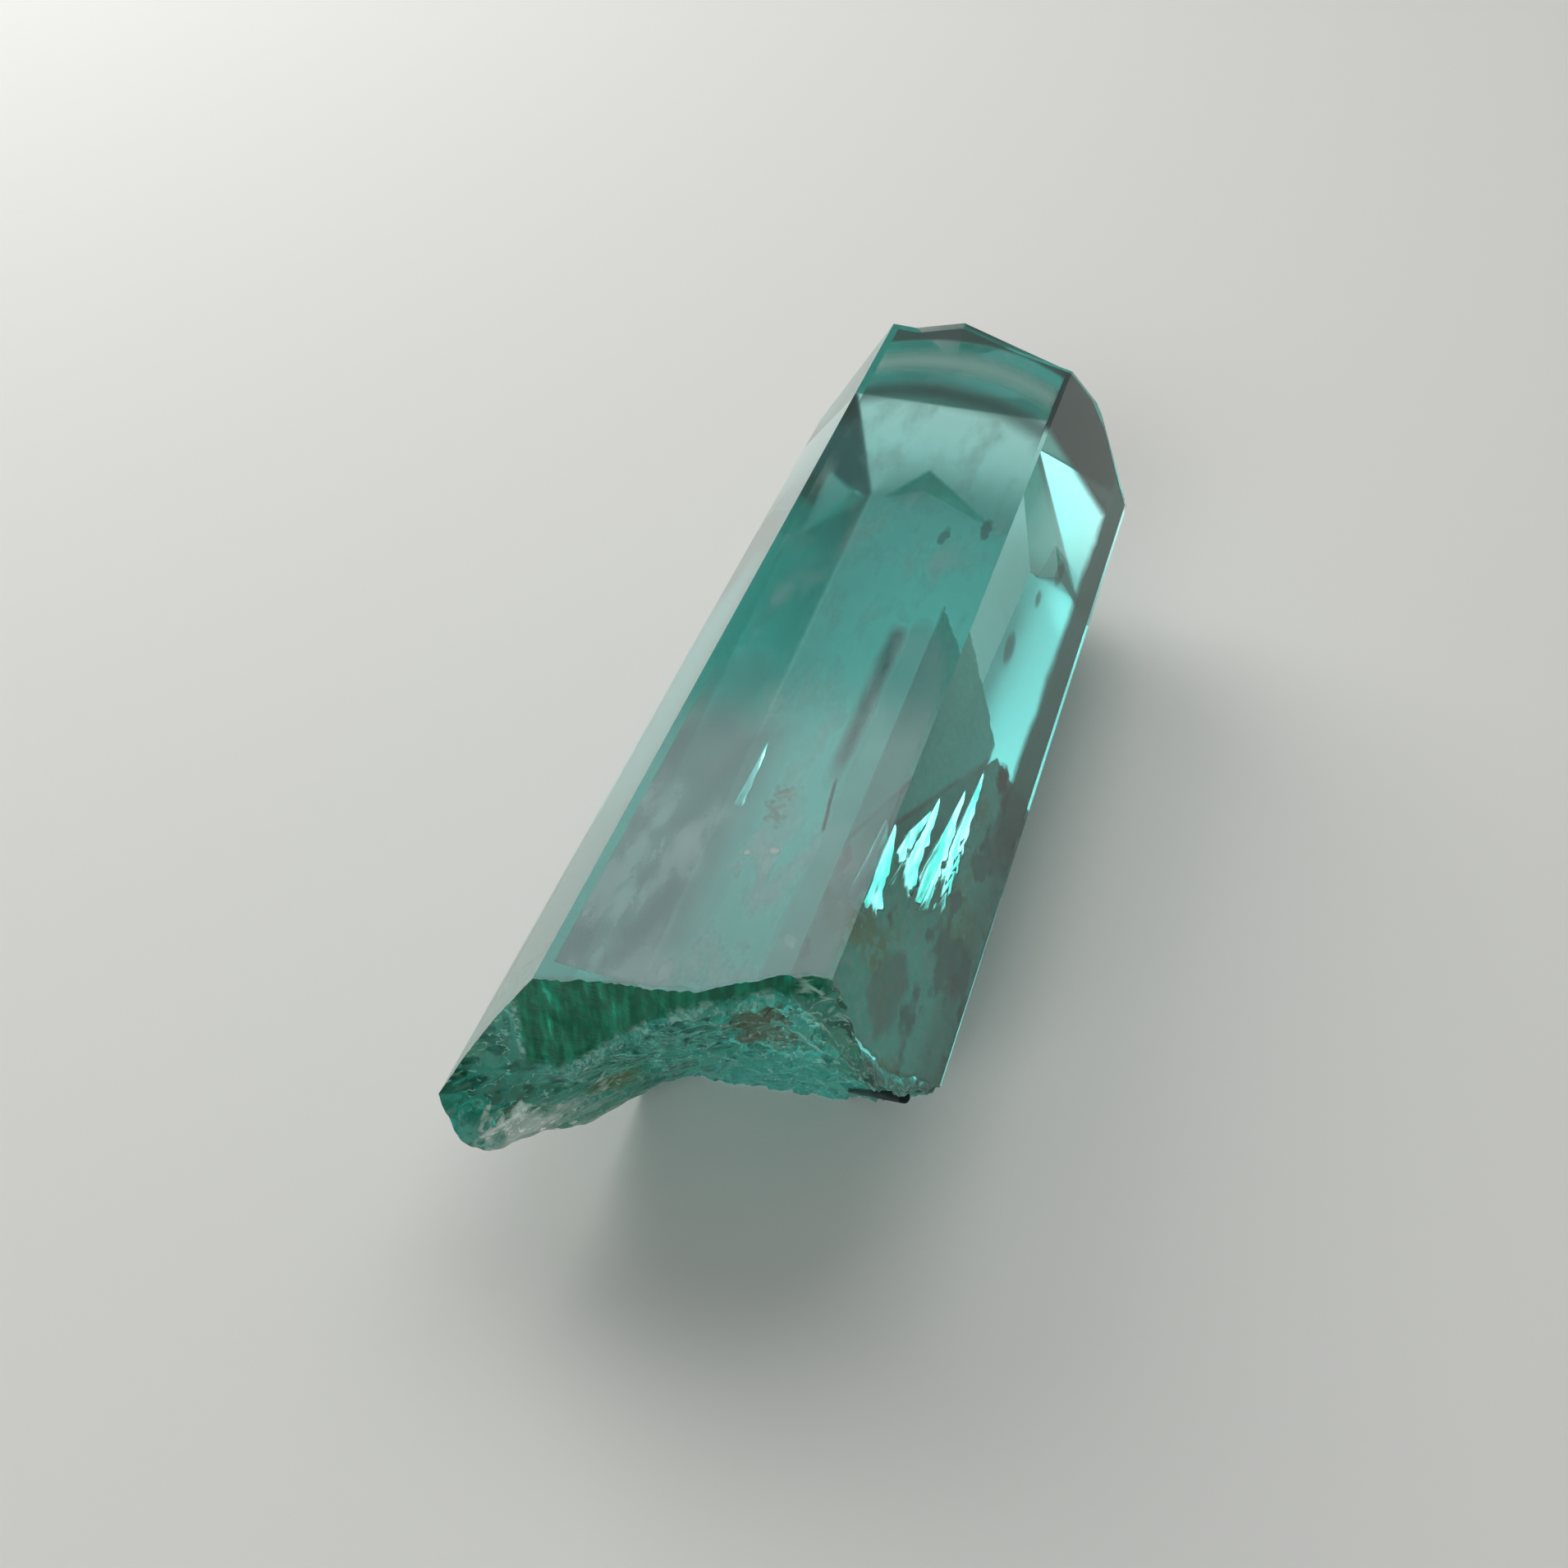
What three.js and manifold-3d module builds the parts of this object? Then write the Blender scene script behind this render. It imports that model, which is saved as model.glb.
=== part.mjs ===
// A natural emerald: one six-sided beryl prism that lies on one of its long faces.
// The far end (+Y) is the flat basal face, bevelled along its foot, with worn corners and a lip that
// overhangs it along the top.
// The near end (-Y) is where the crystal snapped off its host rock: a rough curved break that leans
// back under the top face, with a lobe that stands out at the lower left.
// Millimetres, +Z up. X runs across the prism and Y along its length (the crystal's c axis).
// The origin is the middle of the bounding box's underside, on the surface that the crystal rests on.

import * as THREE from "three";
import { mergeVertices } from "three/addons/utils/BufferGeometryUtils.js";
import Module from "manifold-3d";

// ---- Driving dimensions -------------------------------------------------------------------------

// The prism's cross-section. Every corner turns 60 degrees, as in all beryl, but the sides differ.
const TOP_WIDTH = 4.3;
const UPPER_RIGHT_SIDE = 3.53;
const LOWER_RIGHT_SIDE = 3.92;
const UPPER_LEFT_SIDE = 3.35;
const CORNER_TURN = THREE.MathUtils.degToRad(60);

const LENGTH = 18.2; // from the middle of the break to the basal face at the far end
const BLANK_LENGTH = 24; // the uncut prism, long enough to hold every far facet

// Points that the break passes through, as [x, z, y]. A smaller y stands further out of the crystal.
const BREAK_POINTS = [
  // along the top edge, from left to right
  [-2.15, 6.45, -0.9],
  [-0.9, 6.45, -0.55],
  [0.3, 6.45, -0.3],
  [1.2, 6.45, 0.3],
  [2.15, 6.45, 0.6],
  // down the right side, with a horn half-way down the upper face
  [3.0, 5.0, 0.05],
  [3.55, 4.0, 0.6],
  [3.9, 3.4, 1.15],
  [3.4, 2.5, 1.4],
  [1.95, 0.0, 2.4],
  // along the foot, from right to left
  [0.0, 0.0, 2.1],
  [-1.4, 0.0, 1.8],
  [-1.8, 0.0, 1.4],
  // up the left side, over the lobe that stands out furthest
  [-2.2, 0.7, 0.0],
  [-2.6, 1.4, -0.7],
  [-3.0, 2.1, -1.6],
  [-3.4, 2.8, -2.0],
  [-3.8, 3.5, -1.75],
  [-3.5, 4.0, -1.3],
  [-3.05, 4.9, -0.9],
  [-2.4, 6.0, -0.9],
  // the steep wall under the top edge
  [-1.3, 5.4, -0.6],
  // the ridge below that wall, from the lobe up to the right
  [-2.8, 3.8, -1.05],
  [-1.75, 4.1, -0.8],
  [-0.65, 5.2, -0.55],
  [0.4, 5.8, -0.2],
  // the hollow below the ridge
  [-0.9, 3.4, 0.2],
  [0.0, 4.2, 0.2],
  [0.2, 2.8, 0.9],
  [-0.4, 1.4, 1.4],
  // the back of the lobe
  [-2.5, 2.5, -1.1],
  [-1.8, 1.8, 0.0],
  // the shells on the right
  [1.2, 4.7, 0.4],
  [2.3, 4.4, 0.55],
  [2.5, 2.6, 1.35],
];
const BREAK_ROUNDING = 0.5; // how softly the surface bends at each point

// Facets of the far end: each cuts away what lies beyond a plane through (x, y, z) that faces out
// along the normal. y is counted from the middle of the break.
const BASAL_FACETS = [
  { at: [0, LENGTH, 0], normal: [0, 1, -0.05] }, // the basal face, all but square to the length
  { at: [0, LENGTH, 2.15], normal: [0.14, 1, -1.16] }, // bevel along the foot
  { at: [3.87, 17.66, 3.47], normal: [1, 1, 0.1] }, // right edge
  { at: [2.1, 17.95, 6.45], normal: [0.3, 1, 0.7] }, // top right corner
];
// The lip that overhangs the basal face along the top: two undercut facets and the ridge between.
const LIP_FACETS = [
  { at: [-0.61, 19.08, 6.45], normal: [-0.56, 1, -0.42] },
  { at: [-0.61, 19.08, 6.45], normal: [0.43, 1, -0.42] },
];

// How finely the break is drawn.
const SEGMENTS_PER_SIDE = 14;
const RINGS = 15;

// ---- Cross-section ------------------------------------------------------------------------------

const HEIGHT = (UPPER_RIGHT_SIDE + LOWER_RIGHT_SIDE) * Math.sin(CORNER_TURN);
const LOWER_LEFT_SIDE = UPPER_RIGHT_SIDE + LOWER_RIGHT_SIDE - UPPER_LEFT_SIDE;
const BOTTOM_WIDTH = TOP_WIDTH + UPPER_RIGHT_SIDE - LOWER_LEFT_SIDE;
const MIDDLE = new THREE.Vector2(0, HEIGHT / 2);

// Corners in order, clockwise as seen from the break, from the top left one.
function sectionCorners() {
  const sides = [
    TOP_WIDTH,
    UPPER_RIGHT_SIDE,
    LOWER_RIGHT_SIDE,
    BOTTOM_WIDTH,
    LOWER_LEFT_SIDE,
  ];
  const corners = [new THREE.Vector2(-TOP_WIDTH / 2, HEIGHT)];
  sides.forEach((side, turn) => {
    const heading = -turn * CORNER_TURN;
    const step = new THREE.Vector2(Math.cos(heading), Math.sin(heading));
    corners.push(corners[turn].clone().addScaledVector(step, side));
  });
  return corners;
}

// ---- Break --------------------------------------------------------------------------------------

// A multiquadric surface: a sum of rounded cones, one at each point, whose heights are solved so that
// the sum passes through every point.
function cone(x, z, [px, pz]) {
  return Math.hypot(x - px, z - pz, BREAK_ROUNDING);
}

// Gauss-Jordan elimination, with the largest pivot taken from the rows that are left.
function solve(rows) {
  rows.forEach((_, column) => {
    const left = rows.slice(column).map((row) => Math.abs(row[column]));
    const best = column + left.indexOf(Math.max(...left));
    [rows[column], rows[best]] = [rows[best], rows[column]];
    const pivot = rows[column][column];
    rows[column] = rows[column].map((value) => value / pivot);
    for (const row of rows) {
      if (row === rows[column]) continue;
      const factor = row[column];
      row.forEach((value, k) => (row[k] = value - factor * rows[column][k]));
    }
  });
  return rows.map((row) => row.at(-1));
}

const coneHeights = solve(
  BREAK_POINTS.map(([x, z, y]) => [...BREAK_POINTS.map((point) => cone(x, z, point)), y]),
);

function breakAt(x, z) {
  return BREAK_POINTS.reduce((y, point, i) => y + coneHeights[i] * cone(x, z, point), 0);
}

// ---- Crystal ------------------------------------------------------------------------------------

// A lathe of unit radius whose turns are laid along the section's sides in place of a circle. The
// rings of its near cap carry the break, and its far cap is flat until the facets cut it.
function prismBlank() {
  const corners = sectionCorners();
  const segments = corners.length * SEGMENTS_PER_SIDE;
  const profile = [];
  for (let ring = 0; ring <= RINGS; ring++) profile.push(new THREE.Vector2(ring / RINGS, 0));
  profile.push(new THREE.Vector2(1, BLANK_LENGTH));
  profile.push(new THREE.Vector2(0, BLANK_LENGTH));
  const blank = new THREE.LatheGeometry(profile, segments);
  const { position, uv } = blank.attributes;
  for (let i = 0; i < position.count; i++) {
    const turn = Math.round(uv.getX(i) * segments) % segments;
    const side = Math.floor(turn / SEGMENTS_PER_SIDE);
    const along = (turn % SEGMENTS_PER_SIDE) / SEGMENTS_PER_SIDE;
    const radius = Math.hypot(position.getX(i), position.getZ(i));
    const next = corners[(side + 1) % corners.length];
    const place = corners[side].clone().lerp(next, along).sub(MIDDLE);
    place.multiplyScalar(radius).add(MIDDLE);
    const nearEnd = position.getY(i) === 0;
    const y = nearEnd ? breakAt(place.x, place.y) : BLANK_LENGTH;
    position.setXYZ(i, place.x, y, place.y);
  }
  return blank;
}

const wasm = await Module();
wasm.setup();

function toSolid(geometry) {
  const bare = geometry.clone().deleteAttribute("normal").deleteAttribute("uv");
  const merged = mergeVertices(bare, 1e-4);
  const mesh = new wasm.Mesh({
    numProp: 3,
    vertProperties: merged.attributes.position.array,
    triVerts: new Uint32Array(merged.index.array),
  });
  return new wasm.Manifold(mesh);
}

function toGeometry(solid) {
  const mesh = solid.getMesh();
  return new THREE.BufferGeometry()
    .setAttribute("position", new THREE.BufferAttribute(mesh.vertProperties, 3))
    .setIndex(new THREE.BufferAttribute(mesh.triVerts, 1));
}

// A block with one face on the facet's plane and the rest of it beyond.
function facetCutter({ at, normal }) {
  const size = 2 * BLANK_LENGTH;
  const outward = new THREE.Vector3(...normal).normalize();
  const turn = new THREE.Quaternion().setFromUnitVectors(new THREE.Vector3(0, 1, 0), outward);
  return new THREE.BoxGeometry(size, size, size)
    .translate(0, size / 2, 0)
    .applyQuaternion(turn)
    .translate(...at);
}

function cutBy(solid, facets) {
  return facets.reduce((rest, facet) => rest.subtract(toSolid(facetCutter(facet))), solid);
}

function crystalGeometry() {
  const blank = toSolid(prismBlank());
  const solid = cutBy(blank, BASAL_FACETS).add(cutBy(blank, LIP_FACETS));
  const geometry = toGeometry(solid);
  geometry.computeBoundingBox();
  const { min, max } = geometry.boundingBox;
  return geometry.translate(-(min.x + max.x) / 2, -(min.y + max.y) / 2, -min.z);
}

const emerald = new THREE.MeshStandardMaterial({
  color: 0x3fae96,
  roughness: 0.05,
  metalness: 0,
  transparent: true,
  opacity: 0.6,
});

const crystal = new THREE.Mesh(crystalGeometry(), emerald);
crystal.name = "crystal";

const part = new THREE.Group();
part.add(crystal);

export default part;
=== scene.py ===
import functools
import math
import operator

import bmesh
import bpy
from mathutils import Matrix, Vector, noise
from mathutils.bvhtree import BVHTree


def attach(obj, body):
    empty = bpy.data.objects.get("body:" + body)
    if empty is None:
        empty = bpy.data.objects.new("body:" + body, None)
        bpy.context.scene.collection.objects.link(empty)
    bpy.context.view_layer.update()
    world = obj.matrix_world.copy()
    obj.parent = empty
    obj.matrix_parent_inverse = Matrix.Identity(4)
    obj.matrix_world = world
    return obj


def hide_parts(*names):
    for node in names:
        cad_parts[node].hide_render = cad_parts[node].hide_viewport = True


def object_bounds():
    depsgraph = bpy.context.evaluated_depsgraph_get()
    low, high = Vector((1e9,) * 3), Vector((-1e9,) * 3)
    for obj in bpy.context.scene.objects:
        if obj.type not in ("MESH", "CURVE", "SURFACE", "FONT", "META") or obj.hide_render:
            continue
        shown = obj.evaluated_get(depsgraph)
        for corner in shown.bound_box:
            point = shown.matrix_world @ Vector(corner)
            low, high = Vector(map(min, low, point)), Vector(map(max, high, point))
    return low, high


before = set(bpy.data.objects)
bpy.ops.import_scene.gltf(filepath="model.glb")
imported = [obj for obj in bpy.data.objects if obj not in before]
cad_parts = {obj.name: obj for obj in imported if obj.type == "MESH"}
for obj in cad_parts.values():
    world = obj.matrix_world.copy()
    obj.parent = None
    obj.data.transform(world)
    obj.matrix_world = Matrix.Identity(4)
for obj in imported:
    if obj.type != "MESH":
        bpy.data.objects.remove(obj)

cad_low, cad_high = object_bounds()
scene = bpy.context.scene
scene.view_settings.view_transform = "Standard"


# ---- Camera --------------------------------------------------------------------------------------
# A phone camera held close above the broken end, looking down along the crystal. Light has to cross
# many faces before it leaves the stone, so the renderer is given enough bounces to follow it.

MM = 0.001
EYE_HEIGHT = 26.02 * MM
EYE_RIGHT = 5.94 * MM
EYE_BEFORE_FAR_TIP = 31.84 * MM
VIEW_DIRECTION = Vector((-0.2202, 0.6373, -0.7385))
FOCAL_LENGTH = 36.06  # on a sensor that is 36 wide

camera = bpy.data.objects.new("camera", bpy.data.cameras.new("camera"))
camera.location = (EYE_RIGHT, cad_high.y - EYE_BEFORE_FAR_TIP, EYE_HEIGHT)
camera.rotation_euler = VIEW_DIRECTION.to_track_quat("-Z", "Y").to_euler()
camera.data.lens = FOCAL_LENGTH
camera.data.clip_start = 1 * MM
scene.collection.objects.link(camera)
scene.camera = camera

scene.cycles.max_bounces = 14
scene.cycles.transmission_bounces = 14
scene.cycles.transparent_max_bounces = 20
scene.cycles.glossy_bounces = 8
scene.cycles.diffuse_bounces = 2


# ---- Daylight ------------------------------------------------------------------------------------
# A room lit by its windows: a tall one beyond the far end, which the top face mirrors, and one behind
# the left shoulder. The ceiling and the walls throw back a little light, and a soft lamp stands near
# the far left, so the paper is brighter there.

DAYLIGHT = (0.97, 0.98, 1.0, 1)
ROOM = 0.05
FAR_WINDOW = 2.4
REAR_WINDOW = 3.6
CEILING = 0.38
FAR_WALL = 0.35
FAR_WINDOW_AZIMUTH = -4
REAR_WINDOW_AZIMUTH = -168
FAR_WALL_AZIMUTH = 10
LAMP_PLACE = Vector((-80, 44, 68)) * MM
LAMP_TARGET = Vector((-3, 5, 0)) * MM
LAMP_SIZE = 72 * MM
LAMP_POWER = 0.058


class Socket:
    """An output socket of a shader tree. Arithmetic on it adds Math nodes to the tree."""

    def __init__(self, tree, output=None):
        self.tree = tree
        self.output = output

    def node(self, kind, settings=None, inputs=None):
        """Add a node: its settings first, then its sockets' values or links. Gives its outputs."""
        node = self.tree.nodes.new("ShaderNode" + kind)
        for name, value in (settings or {}).items():
            setattr(node, name, value)
        for socket, value in (inputs or {}).items():
            if isinstance(value, Socket):
                value.feed(node.inputs[socket])
            else:
                node.inputs[socket].default_value = value
        return [Socket(self.tree, output) for output in node.outputs]

    def feed(self, socket):
        """Link this output to another node's input socket."""
        self.tree.links.new(self.output, socket)

    def math(self, operation, *values):
        return self.node("Math", {"operation": operation}, dict(enumerate(values)))[0]

    def __add__(self, other):
        return self.math("ADD", self, other)

    def __sub__(self, other):
        return self.math("SUBTRACT", self, other)

    def __rsub__(self, other):
        return self.math("SUBTRACT", other, self)

    def __mul__(self, other):
        return self.math("MULTIPLY", self, other)

    def __truediv__(self, other):
        return self.math("DIVIDE", self, other)

    def __or__(self, other):
        """The larger of two masks."""
        return self.math("MAXIMUM", self, other)

    __radd__ = __add__
    __rmul__ = __mul__

    def rise(self, low, high):
        """0 below low, 1 above high, and smooth between."""
        kind = {"interpolation_type": "SMOOTHSTEP"}
        return self.node("MapRange", kind, {0: self, 1: low, 2: high})[0]

    def fall(self, low, high):
        return 1.0 - self.rise(low, high)

    def near(self, centre, width):
        """1 at the centre, fading to 0 at a distance of one width on either side."""
        return self.math("ABSOLUTE", self - centre).fall(0.0, width)

    def root(self):
        return self.math("SQRT", self)

    def at_most(self, limit):
        return self.math("MINIMUM", self, limit)


world = bpy.data.worlds.new("room")
world.use_nodes = True
scene.world = world
sky = Socket(world.node_tree)
side, ahead, height = sky.node("SeparateXYZ", inputs={0: sky.node("TexCoord")[0]})
level = (1.0 - height * height).root()


def toward(azimuth):
    """How far a direction leans toward an azimuth, which is counted from +Y toward +X: 1 to -1."""
    turn = math.radians(azimuth)
    return (side * math.sin(turn) + ahead * math.cos(turn)) / level


def above(low, high):
    """1 for a direction that is more than high degrees above the horizon, and 0 below low."""
    return height.rise(math.sin(math.radians(low)), math.sin(math.radians(high)))


below_far_window = 1.0 - above(43, 46)
far_window = toward(FAR_WINDOW_AZIMUTH).rise(0.66, 0.86) * above(43.5, 46) * (1.0 - above(66, 82))
rear_window = toward(REAR_WINDOW_AZIMUTH).rise(0.90, 0.985) * above(18, 28) * below_far_window
far_wall = toward(FAR_WALL_AZIMUTH).rise(0.5, 0.8) * below_far_window
light = ROOM + far_window * FAR_WINDOW + rear_window * REAR_WINDOW
light = light + above(60, 80) * CEILING + far_wall * FAR_WALL
background = world.node_tree.nodes["Background"]
background.inputs["Color"].default_value = DAYLIGHT
light.feed(background.inputs["Strength"])

lamp = bpy.data.objects.new("lamp", bpy.data.lights.new("lamp", "AREA"))
lamp.data.size = LAMP_SIZE
lamp.data.energy = LAMP_POWER
lamp.location = LAMP_PLACE
lamp.rotation_euler = (LAMP_TARGET - LAMP_PLACE).to_track_quat("-Z", "Y").to_euler()
scene.collection.objects.link(lamp)


# ---- Paper ---------------------------------------------------------------------------------------
# The stone lies on a sheet of plain off-white paper, matt and without a pattern. It isn't part of
# the object, and it lies a hair below the stone's resting face so that the two don't touch.

PAPER_REACH = 600 * MM
PAPER_GAP = 0.02 * MM
OFF_WHITE = (0.82, 0.82, 0.775, 1)


def new_object(name, mesh):
    """An object at the origin that holds the finished mesh."""
    data = bpy.data.meshes.new(name)
    mesh.to_mesh(data)
    mesh.free()
    made = bpy.data.objects.new(name, data)
    scene.collection.objects.link(made)
    return made


def new_material(name):
    """A material with a Principled shader: the material, a socket for its tree and the shader."""
    material = bpy.data.materials.new(name)
    material.use_nodes = True
    tree = material.node_tree
    return material, Socket(tree), tree.nodes["Principled BSDF"]


mesh = bmesh.new()
bmesh.ops.create_grid(mesh, x_segments=1, y_segments=1, size=PAPER_REACH)
bmesh.ops.translate(mesh, verts=mesh.verts, vec=(0, 0, -PAPER_GAP))
paper = new_object("paper", mesh)
material, _, shader = new_material("paper")
shader.inputs["Base Color"].default_value = OFF_WHITE
shader.inputs["Roughness"].default_value = 0.9
shader.inputs["Specular IOR Level"].default_value = 0.1
paper.data.materials.append(material)


# ---- Emerald crystal -----------------------------------------------------------------------------
# One six-sided beryl prism. It grew as one piece, with flat glossy sides and a bevelled far end, and
# snapped off its rock at the near end, in a splintery wall above and glassy hollows below.

BREAK_DEPTH = 5.5 * MM  # the whole break lies within this distance of the near end
BREAK_CUTS = 4
ROUNDING_PASSES = 14

# On the break, x runs to the right and z upward, both in mm. A ridge climbs to the right across it.
RIDGE_FOOT_X, RIDGE_TOP_X = -2.3, 0.3
RIDGE_FOOT, RIDGE_RISE = 3.8, 2.15
SHELLS_X, SHELLS_Z = 0.3, 7.4  # the middle of the shell-shaped ribs
RIB_SPACING = 0.42
CHIPS_PER_MM = 2.1
CHIP_SHIFT = Vector((0.3, 0.5, 0.1))

# How far each kind of roughness stands out, in mm.
SWELL_RELIEF = 0.10
CHIP_RELIEF = 0.11
GRAIN_RELIEF = 0.035
SPLINTER_RELIEF = 0.045
CREST_RELIEF = 0.06
CRUMB_RELIEF = 0.22
RIB_RELIEF = 0.09
LOBE_RELIEF = 0.05


def smoothstep(low, high, value):
    t = min(max((value - low) / (high - low), 0.0), 1.0)
    return t * t * (3.0 - 2.0 * t)


def bump(value, width):
    return math.exp(-((value / width) ** 2))


def ridge_height(x):
    """The height of the ridge that parts the steep wall from the hollows."""
    return RIDGE_FOOT + RIDGE_RISE * smoothstep(RIDGE_FOOT_X, RIDGE_TOP_X, x)


def wall_part(x, z):
    return smoothstep(0.05, 0.5, z - ridge_height(x)) * smoothstep(2.3, 1.2, x)


def crest_part(x, z):
    ends = smoothstep(2.0, 1.4, x) * smoothstep(-2.6, -1.7, x)
    return bump(z - ridge_height(x) + 0.05, 0.15) * ends


def lobe_part(x, z):
    return smoothstep(-1.6, -2.4, x) * smoothstep(4.2, 3.2, z)


def shell_part(x, z):
    return smoothstep(0.9, 1.6, x) * smoothstep(1.5, 3.0, z)


def chip_slope(place):
    """Small flat chips, each tilted its own way."""
    point = place * CHIPS_PER_MM + CHIP_SHIFT
    _, seeds = noise.voronoi(point)
    turn = math.tau * noise.cell(seeds[0] * 7.3 + Vector((9.1, 0, 0)))
    offset = point - seeds[0]
    return offset.x * math.cos(turn) + offset.z * math.sin(turn)


def relief(x, z):
    """How far the break stands out beyond its broad shape at a place on it, in mm."""
    place = Vector((x, 0.0, z))
    wall = wall_part(x, z)
    hollow = 1.0 - 0.75 * max(wall, lobe_part(x, z))
    splinters = noise.noise(Vector((x * 11.0, 2.7, z * 0.9)))
    splinters += 0.5 * noise.noise(Vector((x * 27.0, 8.1, z * 1.7)))
    crumbs = abs(noise.fractal(place * 7.0 + Vector((1, 5, 2)), 0.7, 2.3, 4))
    from_middle = math.hypot(x - SHELLS_X, z - SHELLS_Z) + 0.25 * noise.noise(place * 1.3)
    rib = 1.0 - abs(math.sin(math.pi * from_middle / RIB_SPACING))
    swell = noise.noise(place * 1.1 + Vector((3, 0, 7)))
    grain = noise.fractal(place * 5.0, 0.9, 2.1, 3)
    lobe_grain = noise.fractal(place * 2.6 + Vector((4, 4, 4)), 1.0, 2.0, 3)
    out = SWELL_RELIEF * swell * (1.0 - 0.6 * wall)
    out += hollow * CHIP_RELIEF * chip_slope(place)
    out += hollow * GRAIN_RELIEF * grain
    out += wall * SPLINTER_RELIEF * splinters
    out += crest_part(x, z) * (CREST_RELIEF + CRUMB_RELIEF * crumbs)
    out += shell_part(x, z) * RIB_RELIEF * rib**1.5
    out += lobe_part(x, z) * LOBE_RELIEF * lobe_grain
    return out


def is_break(face):
    return face.normal.y < -0.02 and face.calc_center_median().y < cad_low.y + BREAK_DEPTH


mesh = bmesh.new()
mesh.from_mesh(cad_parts["crystal"].data)
bmesh.ops.remove_doubles(mesh, verts=mesh.verts, dist=0.001 * MM)
flat_edges = [edge for edge in mesh.edges if not any(is_break(face) for face in edge.link_faces)]
bmesh.ops.dissolve_limit(mesh, angle_limit=math.radians(0.5), verts=mesh.verts, edges=flat_edges)
broken = [face for face in mesh.faces if is_break(face)]
bmesh.ops.subdivide_edges(
    mesh,
    edges=list({edge for face in broken for edge in face.edges}),
    cuts=BREAK_CUTS,
    use_grid_fill=True,
)
broken = [face for face in mesh.faces if is_break(face)]
rim = {vert for face in mesh.faces if not is_break(face) for vert in face.verts}
inner = list({vert for face in broken for vert in face.verts if vert not in rim})
for _ in range(ROUNDING_PASSES):
    bmesh.ops.smooth_vert(mesh, verts=inner, factor=0.5, use_axis_y=True)
for vert in {vert for face in broken for vert in face.verts}:
    vert.co.y -= relief(vert.co.x / MM, vert.co.z / MM) * MM

for face in mesh.faces:
    face.smooth = is_break(face)
for edge in mesh.edges:
    edge.smooth = all(face.smooth for face in edge.link_faces)

# The finish of each face. Red marks the dull lower right one, green is the roughness of a flat face,
# blue marks the far right edge, which gets painted shade, and alpha marks the break.
TOP_ROUGHNESS = 0.10
UPPER_SIDES_ROUGHNESS = 0.03
FAR_END_ROUGHNESS = 0.06
FOOT_ROUGHNESS = 0.30
finish = mesh.loops.layers.float_color.new("finish")
for face in mesh.faces:
    on_break = 1.0 if is_break(face) else 0.0
    dull = 1.0 if face.normal.x > 0.5 and face.normal.z < -0.3 else 0.0
    shaded_edge = 1.0 if face.normal.x > 0.5 and face.normal.y > 0.3 else 0.0
    roughness = 0.0
    if face.normal.y > 0.3:
        roughness = FAR_END_ROUGHNESS
    elif face.normal.z < -0.9:
        roughness = FOOT_ROUGHNESS
    elif face.normal.z > 0.3:
        roughness = TOP_ROUGHNESS if face.normal.z > 0.9 else UPPER_SIDES_ROUGHNESS
    for loop in face.loops:
        loop[finish] = (dull, roughness, shaded_edge, on_break)

inside = BVHTree.FromBMesh(mesh)
crystal = new_object("emerald_crystal", mesh)

FACTOR, FIRST, SECOND, MIXED = 0, 6, 7, 2  # the Mix node's sockets for colours
COLOUR_MIX = {"data_type": "RGBA"}
PER_METRE = 1000.0  # of anything counted by the millimetre


def mix(tree, factor, first, second):
    """A colour that goes from the first to the second as the factor goes from 0 to 1."""
    return tree.node("Mix", COLOUR_MIX, {FACTOR: factor, FIRST: first, SECOND: second})[MIXED]


def cloud(tree, place, waves, detail=3.0, stretch=(1, 1, 1)):
    """Soft noise from 0 to 1 at that many waves to the millimetre."""
    stretched = tree.node("VectorMath", {"operation": "MULTIPLY"}, {0: place, 1: stretch})[0]
    values = {"Vector": stretched, "Scale": waves * PER_METRE, "Detail": detail}
    return tree.node("TexNoise", inputs=values)[0]


def spot(across, along, centre, size, unevenness):
    """An oval mark: 1 in its middle and 0 beyond its size."""
    side_reach, end_reach = (across - centre[0]) / size[0], (along - centre[1]) / size[1]
    return (side_reach * side_reach + end_reach * end_reach + unevenness).fall(0.2, 1.0)


material, tree, shader = new_material("emerald")
shader.inputs["IOR"].default_value = 1.58
shader.inputs["Transmission Weight"].default_value = 1.0
finish_colour = tree.node("Attribute", {"attribute_name": "finish"})
dull, flat_roughness, shaded_edge = tree.node("SeparateColor", inputs={0: finish_colour[0]})
on_break = finish_colour[3]
flat = 1.0 - on_break

place = tree.node("TexCoord")[3]
in_mm = tree.node("VectorMath", {"operation": "SCALE"}, {0: place, 3: PER_METRE})[0]
x, _, z = tree.node("SeparateXYZ", inputs={0: in_mm})
splinters = cloud(tree, place, 7.0, detail=5.0, stretch=(1, 1, 0.16))
lumps = cloud(tree, place, 1.5, detail=5.0)
grit = cloud(tree, place, 9.0, detail=4.0)

# The splintery wall, and the crumbled crest of the ridge below it.
above_ridge = z - (x.rise(RIDGE_FOOT_X, RIDGE_TOP_X) * RIDGE_RISE + RIDGE_FOOT)
wall = (above_ridge + (grit - 0.5) * 0.3).rise(0.0, 0.2) * x.fall(1.9, 2.3) * x.rise(-2.9, -2.5)
crest = (above_ridge + (lumps - 0.5) * 0.3).near(0.05, 0.3) * x.fall(1.0, 1.9) * x.rise(-2.6, -1.8)
crest = crest * grit.rise(0.38, 0.58) * (x.near(-1.5, 0.8) | lumps.rise(0.47, 0.60))

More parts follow.
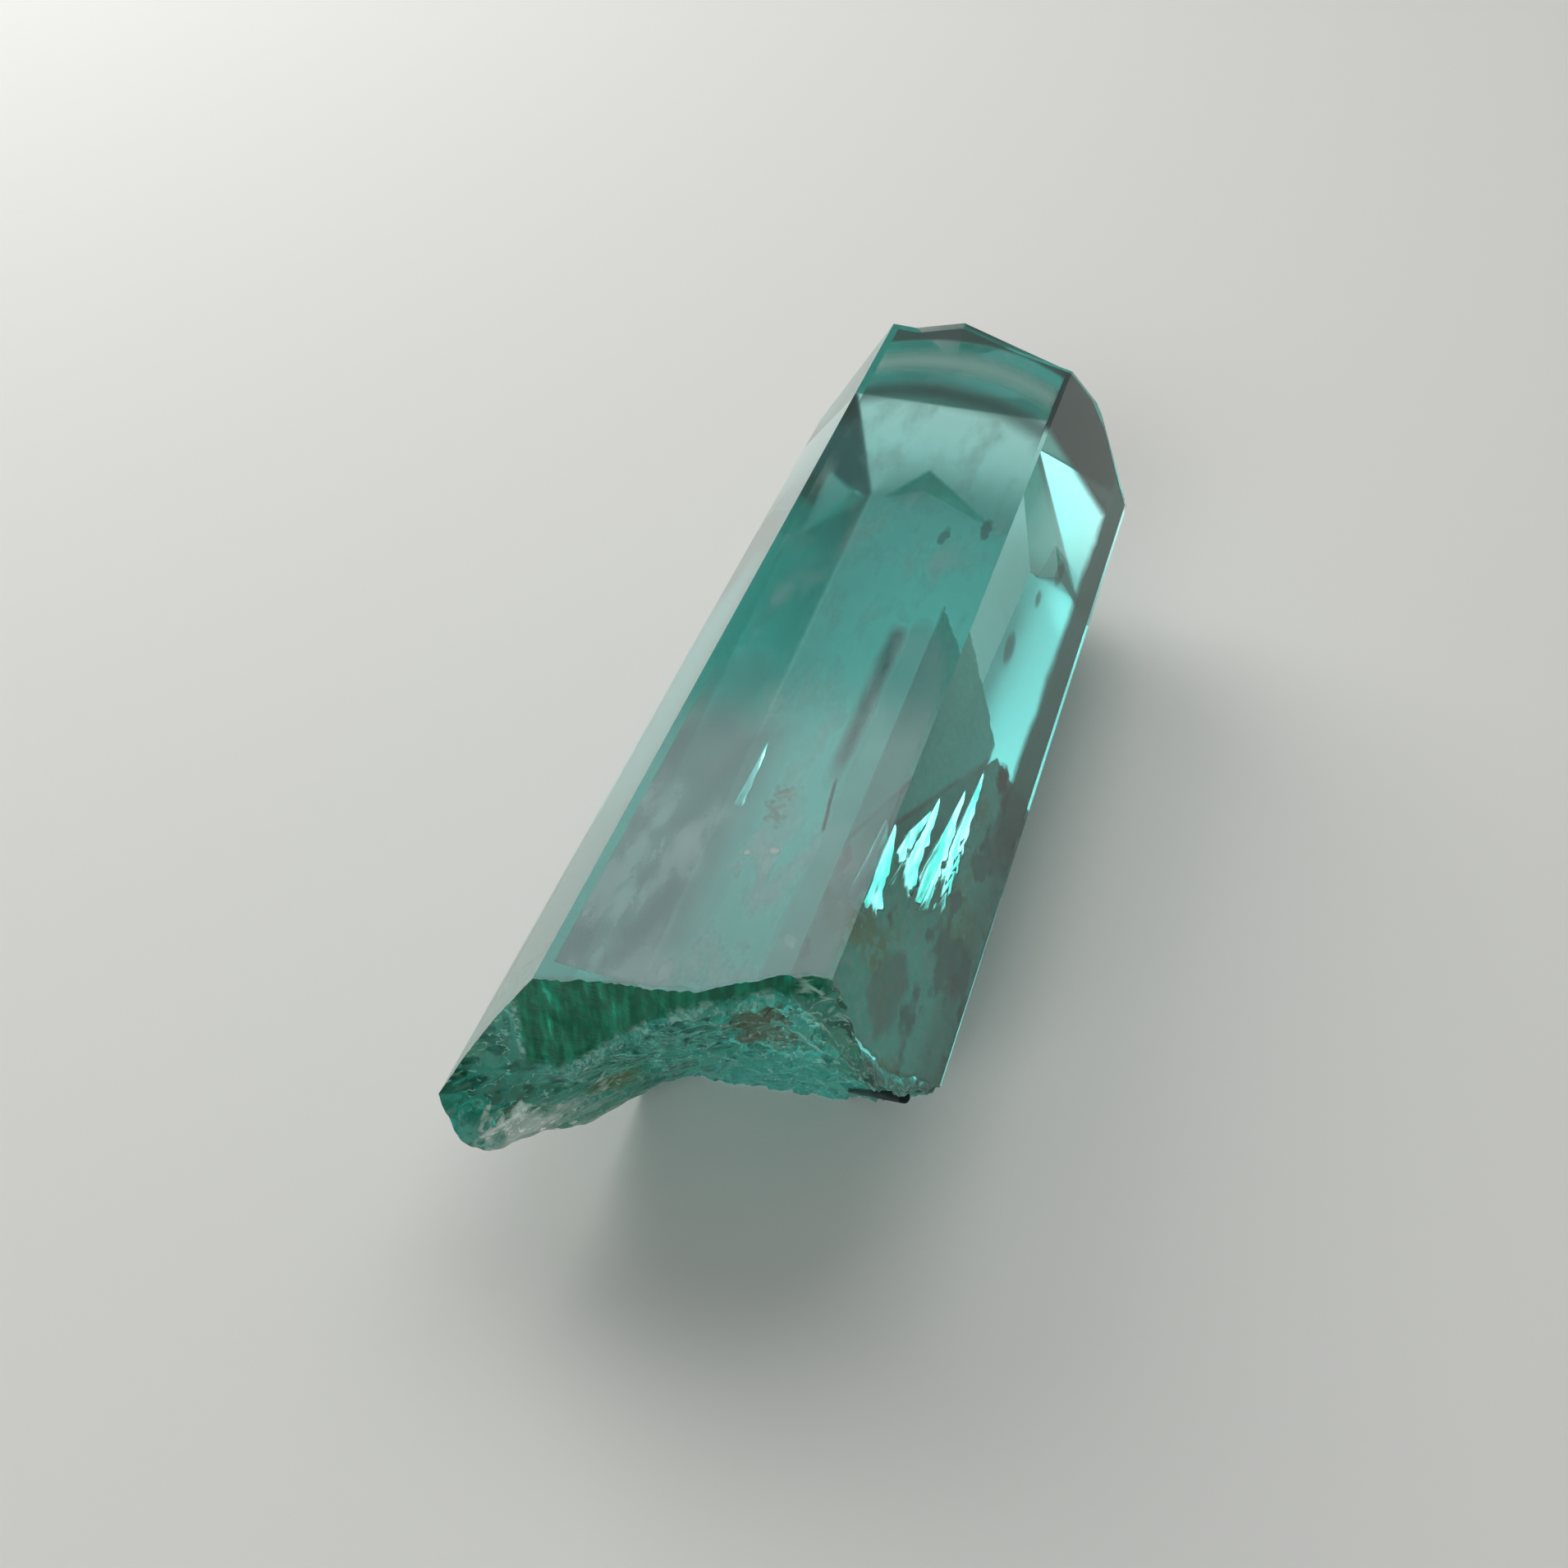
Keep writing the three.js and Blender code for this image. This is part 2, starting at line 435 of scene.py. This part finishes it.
# The lobe at the lower left, with a step above it and a bruise on it.
BRUISE_PLACE, BRUISE_SIZE = (-2.7, 2.1), (0.9, 0.9)
lobe = x.fall(-2.3, -1.7) * z.fall(3.4, 4.2)
step = (x + (lumps - 0.5) * 0.25).near(-2.68, 0.09) * z.rise(3.9, 4.3) * grit.rise(0.4, 0.6)
bruise = spot(x, z, BRUISE_PLACE, BRUISE_SIZE, (grit - 0.5) * 4.0)

# Marks in the hollows: rust and a stain, pits, hairlines, and fresh crescents on the shells.
RUST_PLACE, RUST_SIZE = (1.1, 5.0), (0.7, 1.1)
STAIN_PLACE, STAIN_SIZE = (-1.6, 2.4), (0.5, 0.5)
rust = spot(x, z, RUST_PLACE, RUST_SIZE, (grit - 0.5) * 2.0 + (lumps - 0.5) * 2.5)
stain = spot(x, z, STAIN_PLACE, STAIN_SIZE, (grit - 0.5) * 1.5)
pits = cloud(tree, place, 3.2, detail=4.0, stretch=(0.8, 1, 1.3)).rise(0.55, 0.63)
hairlines = cloud(tree, place, 1.9, stretch=(0.7, 1, 1.4)).near(0.5, 0.022)
hairlines = hairlines * grit.rise(0.42, 0.56) * (1.0 - wall)
crescents = cloud(tree, place, 1.6, detail=2.0, stretch=(0.6, 1, 2.2)).near(0.5, 0.05)
crescents = crescents * x.rise(1.5, 1.8) * z.rise(3.2, 3.8)

# The clear stone below the film.
CLEAR = (1, 1, 1, 1)
DEEP_GREEN = (0.0, 0.42, 0.24, 1)
polished = Socket(material.node_tree, shader.outputs[0])
mix(tree, wall * on_break, CLEAR, DEEP_GREEN).feed(shader.inputs["Base Color"])
roughness = flat_roughness * flat + crest * on_break * 0.5
roughness.feed(shader.inputs["Roughness"])

# Broken and etched surfaces scatter light, as a film of fine cracks over the clear stone.
HOLLOW_DARK = (0.05, 0.25, 0.16, 1)
HOLLOW_PALE = (0.11, 0.41, 0.28, 1)
PIT_GREEN = (0.01, 0.08, 0.045, 1)
WALL_DARK = (0.0, 0.12, 0.058, 1)
WALL_GREEN = (0.0, 0.30, 0.16, 1)
PAINTED_WALL_GLINT = (0.03, 0.62, 0.40, 1)
STAIN_OLIVE = (0.16, 0.18, 0.04, 1)
RUST_BROWN = (0.13, 0.095, 0.035, 1)
BRUISE_GREY = (0.30, 0.50, 0.42, 1)
FRESH_EDGE = (0.42, 0.70, 0.60, 1)
ETCHED = (0.14, 0.50, 0.45, 1)
PAINTED_SHADE_EDGE = (0.02, 0.10, 0.07, 1)
hollows = mix(tree, lumps.rise(0.4, 0.65), HOLLOW_DARK, HOLLOW_PALE)
hollows = mix(tree, pits, hollows, PIT_GREEN)
wall_colour = mix(tree, splinters.rise(0.42, 0.70), WALL_DARK, WALL_GREEN)
# The brightest splinters get a paler green: painted glints.
wall_colour = mix(tree, splinters.rise(0.64, 0.74), wall_colour, PAINTED_WALL_GLINT)
colour = mix(tree, wall, hollows, wall_colour)
colour = mix(tree, stain, colour, STAIN_OLIVE)
colour = mix(tree, rust, colour, RUST_BROWN)
colour = mix(tree, bruise, colour, BRUISE_GREY)
colour = mix(tree, crest | step | crescents | hairlines, colour, FRESH_EDGE)
# On the flat faces the film is etched green, and on the far right edge it is painted shade.
colour = mix(tree, on_break, mix(tree, shaded_edge, ETCHED, PAINTED_SHADE_EDGE), colour)
film_inputs = {"Base Color": colour, "Roughness": 0.4, "Specular IOR Level": 0.15}
film = tree.node("BsdfPrincipled", inputs=film_inputs)[0]
hazy = (1.0 - lobe * 0.5) * (0.56 + (lumps - 0.5) * 0.5)
hazy = hazy | (wall | crest | step * 0.5 | crescents * 0.8) * 0.85
hazy = hazy | rust * 0.75 | stain * 0.6 | bruise * 0.7
hazy = hazy | pits * (1.0 - wall) * 0.6 | hairlines * 0.7
covered = hazy * on_break + dull * flat * 0.9 + shaded_edge * 0.5
output = material.node_tree.nodes["Material Output"]
tree.node("MixShader", inputs={0: covered, 1: polished, 2: film})[0].feed(output.inputs["Surface"])

# Emerald green: red light is taken away fastest, and blue a little faster than green.
ABSORPTION = 300.0  # per metre, at a colour of black
RED_LOSS, GREEN_LOSS, BLUE_LOSS = 125.0, 5.0, 11.0
absorbed = [1 - loss / ABSORPTION for loss in (RED_LOSS, GREEN_LOSS, BLUE_LOSS)]
volume = tree.node("VolumeAbsorption", inputs={"Color": (*absorbed, 1), "Density": ABSORPTION})[0]
volume.feed(output.inputs["Volume"])
crystal.data.materials.append(material)
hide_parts("crystal")
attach(crystal, "root")


# ---- Fractured zone under the upper right face ---------------------------------------------------
# Where the crystal was struck, cracks run in under the upper right face. They let in dirt, so this part
# is
# cloudy: olive and green, with rust in places, and it ends toward the far end in a ragged edge. Its
# colours
# also hold painted light: a turquoise glow toward the far edge, and painted shade along the outer edge.

TOP_HEIGHT = cad_high.z / MM
TOP_RIGHT_EDGE = Vector((2.105, 0.0, TOP_HEIGHT))
RIGHT_EDGE = Vector((3.87, 0.0, 3.395))
ALONG = Vector((0.0, 1.0, 0.0))
ACROSS_RIGHT = (RIGHT_EDGE - TOP_RIGHT_EDGE).normalized()
OUT_RIGHT = ACROSS_RIGHT.cross(ALONG)
END_CLEARANCE = 0.1
SHEET_THICKNESS = 0.01

# Light bends at a face. Seen from above the break, what lies 1 mm under the right face shows this far
# from its place, across and along.
SHIFT_RIGHT = (0.36, 0.63)


def under_right(across, along, depth):
    """A place, in metres, below the upper right face: across is counted down from its top edge."""
    return (TOP_RIGHT_EDGE + ACROSS_RIGHT * across + ALONG * along - OUT_RIGHT * depth) * MM


def under_top(across, along, depth):
    """A place, in metres, below the top face: across is counted from its middle to the right."""
    return Vector((across, along, TOP_HEIGHT - depth)) * MM


def thicken(mesh, place_under):
    """Close an open sheet into a thin solid by giving it a back, further below the face."""
    made = bmesh.ops.extrude_face_region(mesh, geom=mesh.faces[:], use_keep_orig=True)
    back = [item for item in made["geom"] if isinstance(item, bmesh.types.BMVert)]
    inward = place_under(0, 0, SHEET_THICKNESS) - place_under(0, 0, 0)
    bmesh.ops.translate(mesh, verts=back, vec=inward)
    bmesh.ops.recalc_face_normals(mesh, faces=mesh.faces)
    for face in mesh.faces:
        face.smooth = True


def sheet(name, place_under, across, along, depth, steps):
    """A thin sheet at a depth below a face, cut short of the break and of the far end."""
    mesh = bmesh.new()
    bmesh.ops.create_grid(mesh, x_segments=steps[0], y_segments=steps[1], size=0.5)
    for vert in mesh.verts:
        column = across[0] + (across[1] - across[0]) * (vert.co.x + 0.5)
        middle = place_under(column, 0.0, depth)
        near, far = inside.ray_cast(middle, -ALONG)[0], inside.ray_cast(middle, ALONG)[0]
        low = max(along[0], near.y / MM + END_CLEARANCE)
        high = min(along[1], far.y / MM - END_CLEARANCE)
        vert.co = place_under(column, low + (high - low) * (vert.co.y + 0.5), depth)
    thicken(mesh, place_under)
    return new_object(name, mesh)


def set_in_stone(piece, material):
    """Give a piece its material and fix it in the stone."""
    piece.data.materials.append(material)
    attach(piece, "root")


def spots(across, along, rows, unevenness):
    """Several oval marks. A row is one's centre and size, as (across, along), and its strength."""
    marks = []
    for centre, size, strength in rows:
        marks.append(spot(across, along, centre, size, unevenness) * strength)
    return functools.reduce(operator.or_, marks)


def along_axis(tree, place, axis, start):
    """The distance, in mm, of a place from the start, along an axis."""
    offset = tree.node("VectorMath", {"operation": "SUBTRACT"}, {0: place, 1: start * MM})[0]
    values = {0: offset, 1: axis * PER_METRE}
    return tree.node("VectorMath", {"operation": "DOT_PRODUCT"}, values)[1]


def shown_on_right(tree, place, depth):
    """Where a place at that depth shows on the upper right face: across and along, in mm."""
    across = along_axis(tree, place, ACROSS_RIGHT, TOP_RIGHT_EDGE) - SHIFT_RIGHT[0] * depth
    along = along_axis(tree, place, ALONG, Vector()) - SHIFT_RIGHT[1] * depth
    return across, along


VEIL_DEPTH = 0.7
VEIL_ACROSS, VEIL_ALONG = (-0.1, 3.87), (-9.0, 1.2)
CLOUD_GREEN = (0.09, 0.80, 0.60, 1)
CLOUD_OLIVE = (0.20, 0.46, 0.20, 1)
CLOUD_PALE = (0.22, 0.78, 0.64, 1)
CLOUD_DARK = (0.02, 0.12, 0.07, 1)
OUTER_SHADE_GREEN = (0.05, 0.17, 0.11, 1)
GLOW_TURQUOISE = (0.04, 0.50, 0.40, 1)
THIN_FILM = (0.12, 0.80, 0.68, 1)
BAND_BROWN = (0.10, 0.12, 0.06, 1)
VEIL_RUST = (0.14, 0.055, 0.015, 1)
RUSTY_SPECKS = [
    ((2.50, -1.25), (0.30, 0.40), 1.0),
    ((2.80, -1.55), (0.22, 0.30), 1.0),
]
RUSTY_PATCHES = [
    ((1.45, -7.20), (0.60, 0.75), 0.6),
    ((3.10, -5.70), (0.40, 0.60), 0.7),
]

veil = sheet("fracture_veil_right", under_right, VEIL_ACROSS, VEIL_ALONG, VEIL_DEPTH, (44, 96))
material, tree, shader = new_material("fracture_veil_right")
place = tree.node("TexCoord")[3]
across, along = shown_on_right(tree, place, VEIL_DEPTH)
ragged = cloud(tree, place, 1.2, detail=4.0, stretch=(1, 0.6, 1))
fine = cloud(tree, place, 5.0, detail=5.0)
broad = cloud(tree, place, 0.7)

# The cloudy part ends on a slanting line. A thinner grey film runs on from it to a ragged edge.
slant = (across * 1.87 - 4.95).at_most(-1.0)
cloudy = (slant + (ragged - 0.5) * 0.5 - along).rise(-0.04, 0.06)
film_edge = 0.35 - across * 0.62 + (ragged - 0.5) * 0.9
thin_film = (film_edge - along).rise(-0.03, 0.03) * across.fall(1.85, 1.95)
brown_band = (along - slant).near(0.05, 0.2) * across.fall(1.9, 2.1)
# Painted light and shade: a turquoise glow in the far part of the cloudy zone, and darker green along
# the outer strip.
painted_glow = (along + 5.5).rise(0.0, 0.8) * across.rise(-0.2, 0.2) * across.fall(1.8, 2.3)
outer_shade = across.rise(2.5, 3.1)
rust = spots(across, along, RUSTY_SPECKS, (fine - 0.5) * 1.5)
rust = rust | spots(across, along, RUSTY_PATCHES, (ragged - 0.5) * 4.0)

colour = mix(tree, (broad * 0.6 + ragged * 0.4).rise(0.46, 0.57), CLOUD_GREEN, CLOUD_OLIVE)
colour = mix(tree, fine.rise(0.50, 0.57) * 0.8, colour, CLOUD_PALE)
colour = mix(tree, ragged.rise(0.53, 0.59) * 0.8, colour, CLOUD_DARK)
colour = mix(tree, outer_shade * 0.35, colour, OUTER_SHADE_GREEN)
colour = mix(tree, painted_glow * 0.8, colour, GLOW_TURQUOISE)
colour = mix(tree, cloudy, THIN_FILM, colour)
colour = mix(tree, brown_band * 0.7, colour, BAND_BROWN)
colour = mix(tree, rust * 0.9, colour, VEIL_RUST)
colour.feed(shader.inputs["Base Color"])
alpha = cloudy * (0.65 + fine * 0.35) | thin_film * (0.5 + fine * 0.5) | rust * 0.9
alpha.feed(shader.inputs["Alpha"])
shader.inputs["Roughness"].default_value = 0.6
set_in_stone(veil, material)


# ---- Edge veil -----------------------------------------------------------------------------------
# A second, shallower sheet lies close under the same face. It is clear but for painted shade, in a dark
# strip along the outer edge and at the far end, and for three small dark specks.

EDGE_VEIL_DEPTH = 0.12
EDGE_VEIL_ACROSS, EDGE_VEIL_ALONG = (-0.02, 3.5), (-3.5, 10.4)
PAINTED_SHADE_AND_SPECK_DARK = (0.02, 0.08, 0.06, 1)
SHADE_STRIP_GREEN = (0.03, 0.26, 0.19, 1)
DARK_SPECKS = [
    ((1.97, 4.53), (0.16, 0.45), 0.4),
    ((1.60, 3.25), (0.14, 0.40), 0.4),
    ((1.28, 1.32), (0.20, 0.50), 0.4),
]

painted_shade_veil = sheet(
    "painted_shade_veil_right", under_right, EDGE_VEIL_ACROSS, EDGE_VEIL_ALONG, EDGE_VEIL_DEPTH, (40, 96)
)
material, tree, shader = new_material("painted_shade_veil_right")
place = tree.node("TexCoord")[3]
across, along = shown_on_right(tree, place, EDGE_VEIL_DEPTH)
streaky = cloud(tree, place, 1.5, detail=4.0, stretch=(1, 0.4, 1))
# Painted shade: a dark strip along the outer edge, and a shade toward the far end.
shade_strip = (across - along * 0.01 - 2.74 + (streaky - 0.5) * 0.4).rise(-0.14, 0.14)
shade_strip = shade_strip * along.rise(-3.2, -1.5)
painted_far_shade = (along - across * 0.26 - 6.95).rise(-0.15, 0.3)
specks = spots(across, along, DARK_SPECKS, (streaky - 0.5) * 3.0)
mix(tree, shade_strip, PAINTED_SHADE_AND_SPECK_DARK, SHADE_STRIP_GREEN).feed(shader.inputs["Base Color"])
(shade_strip * 0.85 | painted_far_shade * 0.8 | specks).feed(shader.inputs["Alpha"])
shader.inputs["Roughness"].default_value = 0.6
set_in_stone(painted_shade_veil, material)


# ---- Bright cracks -------------------------------------------------------------------------------
# In front of the cloudy zone, air has got into a row of cracks. Each is a thin blade that tapers to
# the far end, and it leans so that it mirrors the daylight: a flame-like flash of pale green.

CRACK_PALE = (0.32, 1.00, 0.92, 1)
CRACK_GREEN = (0.06, 0.52, 0.43, 1)
CRACK_DEPTH = 0.05  # one width to the right of a blade's tip
FOOT_WANDER = 0.18  # how far the line of the foot wanders, as a share of the length
TEAR = 0.3  # how far the edge is torn in and out, as a share of the width
TIP_WIDTH = 0.012  # as a share of the width
BEND = 0.008  # how far the blade is bent out of flat

# A face that blades lie under: its places, where 1 mm of depth shows, and the depth that a blade
# gains for each mm across and along.
UNDER_RIGHT_FACE = (under_right, SHIFT_RIGHT, (0.40, 0.057))
UNDER_TOP_FACE = (under_top, (0.15, 0.45), (0.06, -0.02))

# Each row is a crack's foot and tip, as (across, along), and its width.
CRACKS = [
    ((-0.02, -6.45), (0.06, -4.65), 0.62),
    ((0.32, -5.10), (0.46, -4.40), 0.34),
    ((0.50, -5.70), (0.90, -3.20), 0.64),
    ((0.32, -4.80), (0.80, -3.60), 0.34),
    ((1.04, -5.45), (1.50, -2.40), 0.62),
    ((1.42, -5.25), (1.52, -4.05), 0.26),
    ((1.52, -5.10), (1.82, -1.60), 0.62),
]


def blade(name, face, foot, tip, width):
    """One crack: foot and tip are (across, along) on the face, and width is its widest part."""
    place_under, shift, lean = face
    foot, tip = Vector(foot), Vector(tip)
    along = tip - foot
    sideways = Vector((along.y, -along.x)).normalized()
    mesh = bmesh.new()
    bmesh.ops.create_grid(mesh, x_segments=10, y_segments=48, size=0.5)
    from_foot = mesh.verts.layers.float.new("from_foot")
    for vert in mesh.verts:
        s, t = vert.co.x + 0.5, vert.co.y + 0.5
        vert[from_foot] = t
        foot_line = FOOT_WANDER * noise.noise(Vector((s * 4.0, foot.x * 3.0, 1.0)))
        t = max(t, 0.0) * (1.0 - foot_line) + foot_line
        tear = noise.noise(Vector((t * along.length * 5.0, foot.x * 5.0, foot.y)))
        taper = max(1.0 - t, 0.0) ** 0.7 * smoothstep(-0.25, 0.1, t)
        edge = max(taper * (1.0 + TEAR * tear), TIP_WIDTH)
        shown = foot + along * t + sideways * (width * s * edge)
        bend = BEND * noise.noise(Vector((shown.x * 5.0, shown.y * 1.5, 4.0)))
        leaned = lean[0] * (tip.x + width - shown.x) + lean[1] * (tip.y - shown.y)
        sunk = CRACK_DEPTH + leaned + bend
        vert.co = place_under(shown.x + shift[0] * sunk, shown.y + shift[1] * sunk, sunk)
    thicken(mesh, place_under)
    return new_object(name, mesh)


bright, tree, shader = new_material("bright_crack")
feather = cloud(tree, tree.node("TexCoord")[3], 4.0, detail=4.0, stretch=(1, 0.2, 1))
mix(tree, feather.rise(0.42, 0.62), CRACK_PALE, CRACK_GREEN).feed(shader.inputs["Base Color"])
from_foot = tree.node("Attribute", {"attribute_name": "from_foot"})[2]
(from_foot + (feather - 0.5) * 0.8).rise(0.02, 0.22).feed(shader.inputs["Alpha"])
shader.inputs["Metallic"].default_value = 1.0
shader.inputs["Roughness"].default_value = 0.10

for number, (foot, tip, width) in enumerate(CRACKS, start=1):
    set_in_stone(blade(f"bright_crack_{number}", UNDER_RIGHT_FACE, foot, tip, width), bright)


# ---- Needle --------------------------------------------------------------------------------------
# A dark needle of another mineral, which the emerald grew around and the break laid bare. It's
# straight and lies across the hollow of the break at the lower right, fixed at its thicker outer end.

NEEDLE_INNER, NEEDLE_OUTER = Vector((2.25, 0.0, 1.95)), Vector((3.42, 0.0, 3.95))
NEEDLE_INNER_RADIUS, NEEDLE_OUTER_RADIUS = 0.045 * MM, 0.10 * MM
NEEDLE_BARED = ALONG * -0.12 * MM
NEEDLE_COLOUR = (0.01, 0.025, 0.025, 1)

inner_end = inside.ray_cast(NEEDLE_INNER * MM, -ALONG)[0] + NEEDLE_BARED
outer_end = inside.ray_cast(NEEDLE_OUTER * MM, -ALONG)[0] + NEEDLE_BARED
needle_line = outer_end - inner_end
turned = needle_line.to_track_quat("Z", "Y").to_matrix().to_4x4()
mesh = bmesh.new()
bmesh.ops.create_cone(
    mesh,
    cap_ends=True,
    segments=24,
    radius1=NEEDLE_INNER_RADIUS,
    radius2=NEEDLE_OUTER_RADIUS,
    depth=needle_line.length,
    matrix=Matrix.Translation((inner_end + outer_end) / 2) @ turned,
)
for face in mesh.faces:
    face.smooth = len(face.verts) == 4
needle = new_object("needle", mesh)
material, _, shader = new_material("needle")
shader.inputs["Base Color"].default_value = NEEDLE_COLOUR
shader.inputs["Roughness"].default_value = 0.35
set_in_stone(needle, material)


# ---- Veils under the top face --------------------------------------------------------------------
# Healed cracks lie just below the top face as faint clouds: a straight-sided grey finger along the
# right
# and smoky patches near the break with a brown stain. The sheet also carries painted light and shade:
# pale and dark bands at the far end, a shade along the finger, a soft dark patch and two small glints.

TOP_VEIL_DEPTH = 0.12
TOP_VEIL_ACROSS, TOP_VEIL_ALONG = (-2.05, 2.0), (-9.0, 10.5)
VEIL_GREEN = (0.16, 0.46, 0.40, 1)
FINGER_GREEN = (0.13, 0.52, 0.46, 1)
FINGER_PAINTED_SHADE = (0.02, 0.20, 0.18, 1)
NEAR_GREY = (0.22, 0.40, 0.37, 1)
HAZE_GREY = (0.11, 0.20, 0.20, 1)
SMOKE_PALE = (0.46, 0.62, 0.62, 1)
STAIN_BROWN = (0.16, 0.17, 0.04, 1)
WISP_CHIP_AND_GLINT_WHITE = (0.75, 0.85, 0.82, 1)
MARK_AND_SHADE_DARK = (0.02, 0.06, 0.06, 1)
PAINTED_LIGHT_BAND_PALE = (0.45, 0.80, 0.68, 1)
PAINTED_SHADE_BAND_DARK = (0.02, 0.09, 0.07, 1)
PAINTED_GLINTS = [
    ((0.03, -5.97), (0.10, 0.10), 1.0),
    ((0.40, -5.80), (0.12, 0.09), 1.0),
]
RAGGED_CHIPS = [((1.27, -7.50), (0.14, 0.22), 0.5)]
DARK_MARKS = [
    ((1.65, 3.45), (0.13, 0.42), 1.0),
    ((0.91, 2.95), (0.12, 0.35), 1.0),
]
PAINTED_SHADE_PATCHES = [((-1.45, -2.1), (0.55, 0.9), 0.5)]
STAINS = [((0.24, -4.80), (0.30, 0.75), 1.0)]

top_veil = sheet("veil_top", under_top, TOP_VEIL_ACROSS, TOP_VEIL_ALONG, TOP_VEIL_DEPTH, (40, 150))
material, tree, shader = new_material("veil_top")
place = tree.node("TexCoord")[3]
across = along_axis(tree, place, Vector((1, 0, 0)), Vector())
along = along_axis(tree, place, ALONG, Vector())
broad = cloud(tree, place, 0.6)
streaky = cloud(tree, place, 1.6, detail=4.0, stretch=(1, 0.4, 1))
fine = cloud(tree, place, 5.0, detail=5.0)

# The finger, the painted shade on its left and the dark crack in that shade.
left_side = across - 0.98 - (streaky - 0.5) * 0.12
finger_end = 0.3 - (across - 1.25) * (across - 1.25) * 3.0
finger = left_side.rise(-0.05, 0.12) * (finger_end - along).rise(-0.25, 0.25)
finger_painted_shade = left_side.near(-0.12, 0.28) * (0.1 - along).rise(-0.2, 0.3) * along.rise(-4.6, -3.2)
crack_line = (left_side + (along + 4.7) * 0.1).near(0.0, 0.05)
crack_line = crack_line * along.rise(-5.3, -5.0) * along.fall(-4.2, -3.7)

# Near the break: haze on the left, smoke, the brown stain, a pale chip and two painted glints. Faint
# wisps cover the rest.
near_zone = along.fall(-6.2, -4.2)
haze = across.fall(-1.0, 0.3) * (along + (streaky - 0.5) * 2.0).fall(-3.6, -2.0)
smoke = near_zone * streaky.rise(0.42, 0.62)
stain = spots(across, along, STAINS, (streaky - 0.5) * 3.0 + (fine - 0.5) * 2.0)
wisps = streaky.near(0.8333, 0.4) * along.rise(-6.6, -6.2)
glints_and_chip = spots(across, along, PAINTED_GLINTS, (fine - 0.5) * 3.0)
glints_and_chip = glints_and_chip | spots(across, along, RAGGED_CHIPS, (fine - 0.5) * 4.0)

# Two dark marks lie beyond the finger, and a fainter patch of painted shade on the left.
dark_marks_and_shade = spots(across, along, DARK_MARKS, (fine - 0.5) * 2.0)
dark_marks_and_shade = dark_marks_and_shade | spots(across, along, PAINTED_SHADE_PATCHES, (streaky - 0.5) * 2.0)

# At the far end, painted light and shade lie in bands that follow the curve of the lip: a dark lens at
# the tip, then a pale and a dark band.
curved = along + across * across * 0.16 + across * 0.05
lens = (curved - 9.75).rise(0.0, 0.2)
painted_light_band = curved.near(8.95, 0.75)
painted_shade_band = curved.near(7.75, 0.75)

colour = mix(tree, finger, VEIL_GREEN, FINGER_GREEN)
colour = mix(tree, near_zone * 0.6, colour, NEAR_GREY)
colour = mix(tree, haze, colour, HAZE_GREY)
colour = mix(tree, smoke * (1.0 - finger), colour, SMOKE_PALE)
colour = mix(tree, stain, colour, STAIN_BROWN)
colour = mix(tree, finger_painted_shade, colour, FINGER_PAINTED_SHADE)
colour = mix(tree, glints_and_chip | wisps * 0.6, colour, WISP_CHIP_AND_GLINT_WHITE)
colour = mix(tree, crack_line | dark_marks_and_shade, colour, MARK_AND_SHADE_DARK)
colour = mix(tree, painted_light_band, colour, PAINTED_LIGHT_BAND_PALE)
colour = mix(tree, painted_shade_band | lens, colour, PAINTED_SHADE_BAND_DARK)
colour.feed(shader.inputs["Base Color"])
alpha = finger * (0.22 + broad * 0.25) | finger_painted_shade * 0.65 | crack_line * 0.9
alpha = alpha | haze * 0.45 | smoke * 0.40 | stain * 0.5 | wisps * 0.35 | glints_and_chip * 0.8
alpha = alpha | dark_marks_and_shade * 0.35 | lens * 0.7 | painted_light_band * 0.7 | painted_shade_band * 0.5
alpha.feed(shader.inputs["Alpha"])
shader.inputs["Roughness"].default_value = 0.6
set_in_stone(top_veil, material)


# ---- Bright streak -------------------------------------------------------------------------------
# One more small crack with air in it, under the left half of the top face. It's made like the bright
# cracks under the right face, and flashes with the same pale green.

STREAK_FOOT, STREAK_TIP, STREAK_WIDTH = (-0.56, -5.2), (-0.50, -3.5), 0.18

set_in_stone(blade("bright_streak", UNDER_TOP_FACE, STREAK_FOOT, STREAK_TIP, STREAK_WIDTH), bright)
